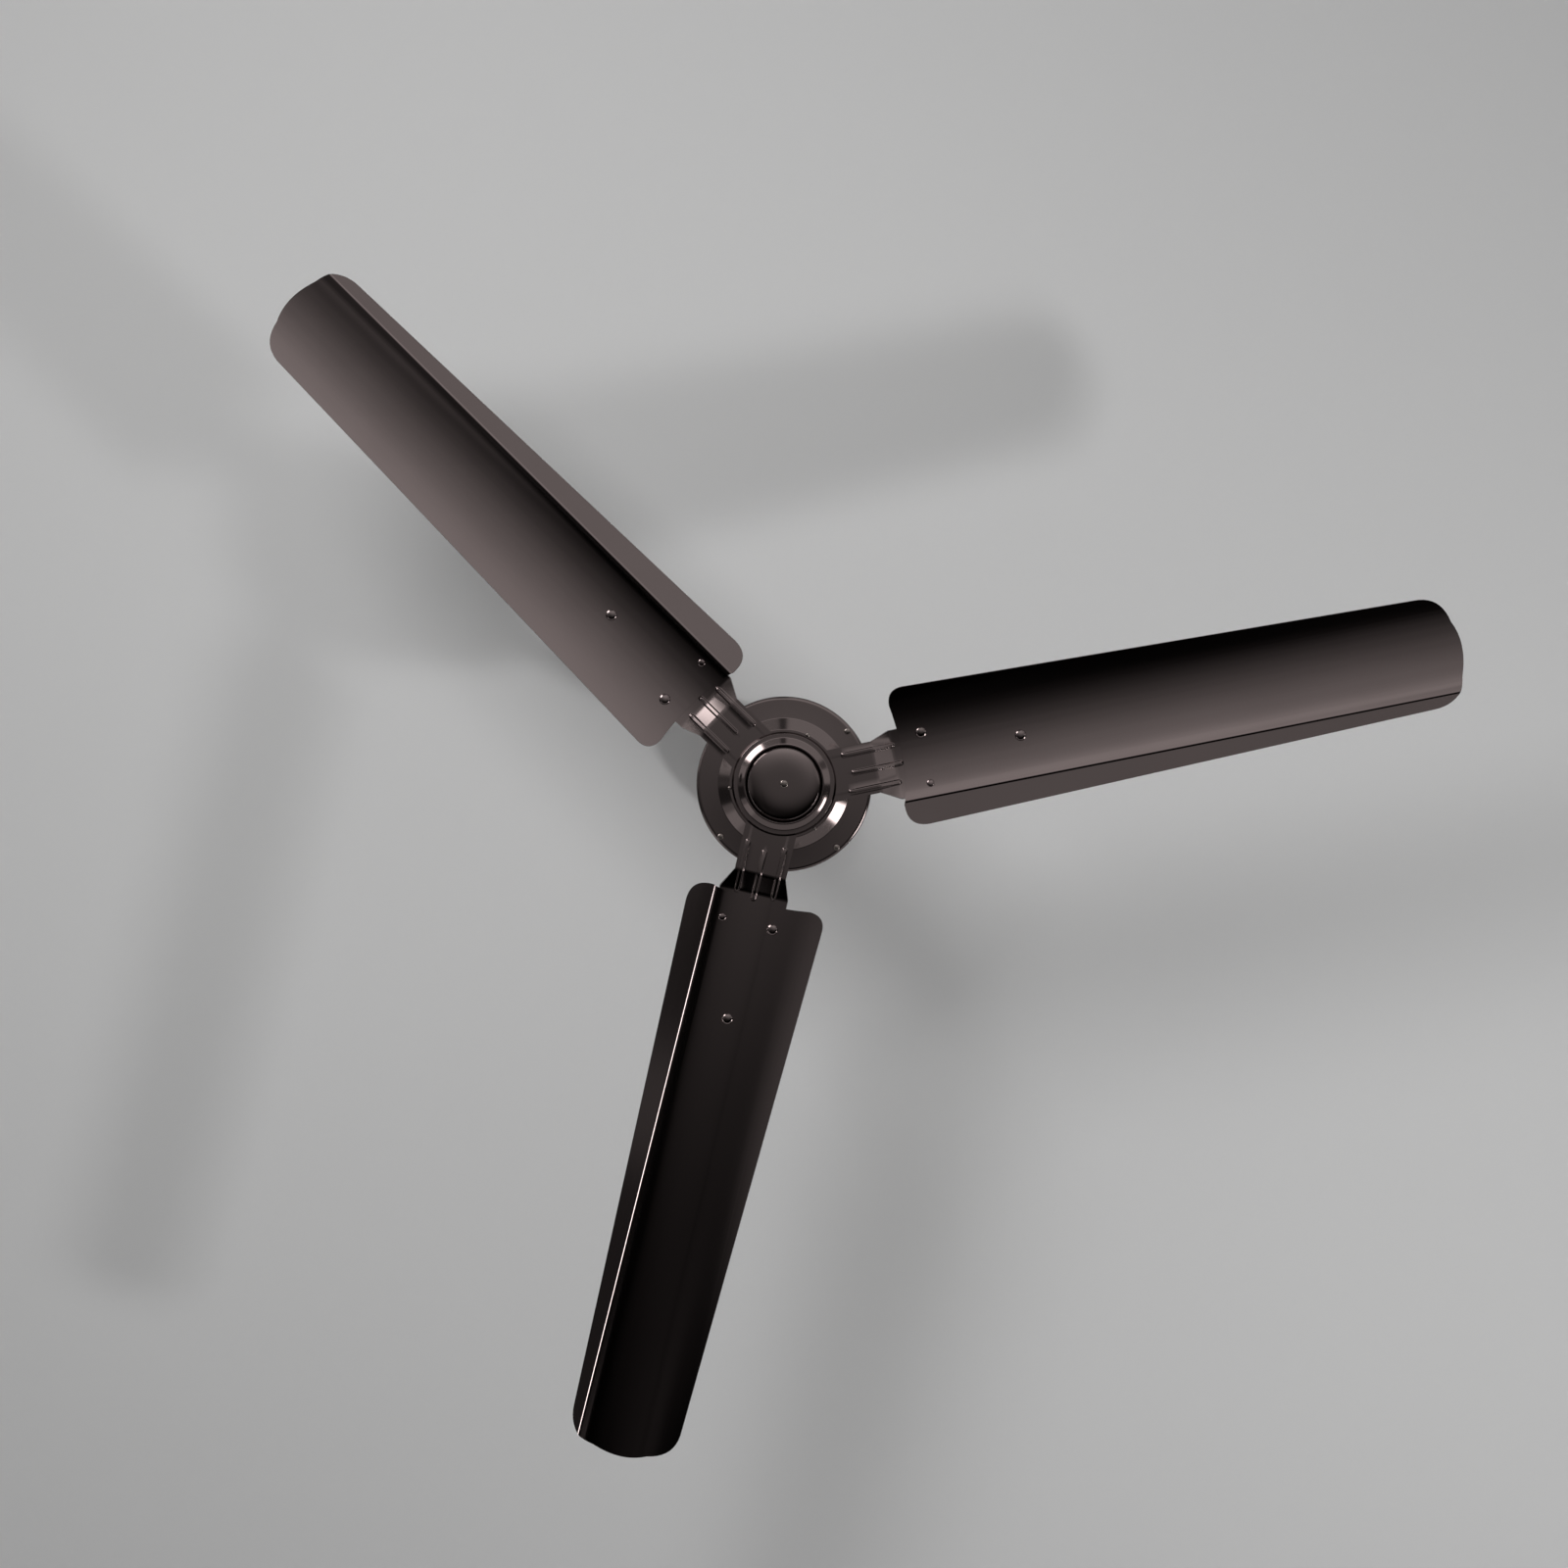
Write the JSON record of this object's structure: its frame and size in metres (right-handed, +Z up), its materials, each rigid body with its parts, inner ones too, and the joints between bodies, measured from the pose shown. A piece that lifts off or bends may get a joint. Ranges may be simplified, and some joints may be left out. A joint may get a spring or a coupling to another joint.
{
  "type": "ceiling fan",
  "caption": "Ceiling fan with cambered, edge-folded metal blades on ribbed brackets under a round closed motor, hung from a hook by a short downrod with a canopy at each end.",
  "frame": {"origin": "axis of the hanger bolt where it crosses the fan's axis, inside the bobbin that sits on the ceiling hook", "axes": "+Z up along the downrod, +X along the hanger bolt towards its nut, +Y across the shackle"},
  "size_m": [1.0341, 1.0251, 0.4221],
  "materials": {
    "blade_sheet": "satin metallic brown-grey paint on sheet",
    "painted_steel": "satin metallic brown-grey paint",
    "painted_casting": "satin metallic brown-grey paint on a casting",
    "painted_canopy": "satin brown-grey moulding",
    "dark_screw": "dark plated steel",
    "zinc_steel": "zinc plated steel",
    "laminated_steel": "stacked electrical steel",
    "copper_winding": "enamelled copper wire",
    "bobbin_rubber": "matt black rubber",
    "moulded_plastic": "plain moulded plastic"
  },
  "bodies": {
    "hanger": {"hanger_bobbin": "bobbin_rubber"},
    "suspension": {"shackle": "zinc_steel", "hanger_bolt": "zinc_steel", "hanger_nut": "zinc_steel", "hanger_split_pin": "zinc_steel", "terminal_block": "moulded_plastic", "downrod": "painted_steel", "rod_upper_bolt": "zinc_steel", "rod_upper_nut": "zinc_steel", "rod_lower_bolt": "zinc_steel", "rod_lower_nut": "zinc_steel", "run_capacitor": "moulded_plastic", "motor_shaft": "zinc_steel", "stator_core": "laminated_steel", "stator_winding": "copper_winding", "upper_bearing_inner_ring": "zinc_steel", "lower_bearing_inner_ring": "zinc_steel"},
    "rotor": {"motor_top_cover": "painted_casting", "motor_bottom_cover": "painted_casting", "rotor_ring": "laminated_steel", "upper_bearing_outer_ring": "zinc_steel", "lower_bearing_outer_ring": "zinc_steel", "upper_bearing_ball_set": "zinc_steel", "lower_bearing_ball_set": "zinc_steel", "cover_screw_1": "dark_screw", "cover_screw_2": "dark_screw", "cover_screw_3": "dark_screw", "cover_screw_4": "dark_screw", "bracket_1": "painted_steel", "blade_1": "blade_sheet", "rivet_1a": "painted_steel", "rivet_1b": "painted_steel", "rivet_1c": "painted_steel", "bracket_screw_1a": "dark_screw", "bracket_screw_1b": "dark_screw", "bracket_2": "painted_steel", "blade_2": "blade_sheet", "rivet_2a": "painted_steel", "rivet_2b": "painted_steel", "rivet_2c": "painted_steel", "bracket_screw_2a": "dark_screw", "bracket_screw_2b": "dark_screw", "bracket_3": "painted_steel", "blade_3": "blade_sheet", "rivet_3a": "painted_steel", "rivet_3b": "painted_steel", "rivet_3c": "painted_steel", "bracket_screw_3a": "dark_screw", "bracket_screw_3b": "dark_screw", "trim_ring": "painted_steel", "trim_screw_1": "dark_screw", "trim_screw_2": "dark_screw", "trim_screw_3": "dark_screw", "hub_cap": "painted_steel", "hub_cap_screw": "dark_screw"},
    "top_canopy_body": {"top_canopy": "painted_canopy", "top_canopy_screw": "zinc_steel"},
    "lower_canopy_body": {"lower_canopy": "painted_canopy", "lower_canopy_screw": "zinc_steel"}
  },
  "joints": [
    {"name": "hanger_swing", "type": "hinge", "parent": "hanger", "child": "suspension", "pos_m": [0, 0, 0], "axis": [1, 0, 0], "range_deg": [-10, 10]},
    {"name": "rotor_spin", "type": "hinge", "parent": "suspension", "child": "rotor", "pos_m": [0, 0, -0.34], "axis": [0, 0, 1], "continuous": true},
    {"name": "top_canopy_slide", "type": "slide", "parent": "suspension", "child": "top_canopy_body", "axis": [0, 0, 1], "range_m": [-0.06, 0]},
    {"name": "lower_canopy_slide", "type": "slide", "parent": "suspension", "child": "lower_canopy_body", "axis": [0, 0, 1], "range_m": [0, 0.06]}
  ]
}
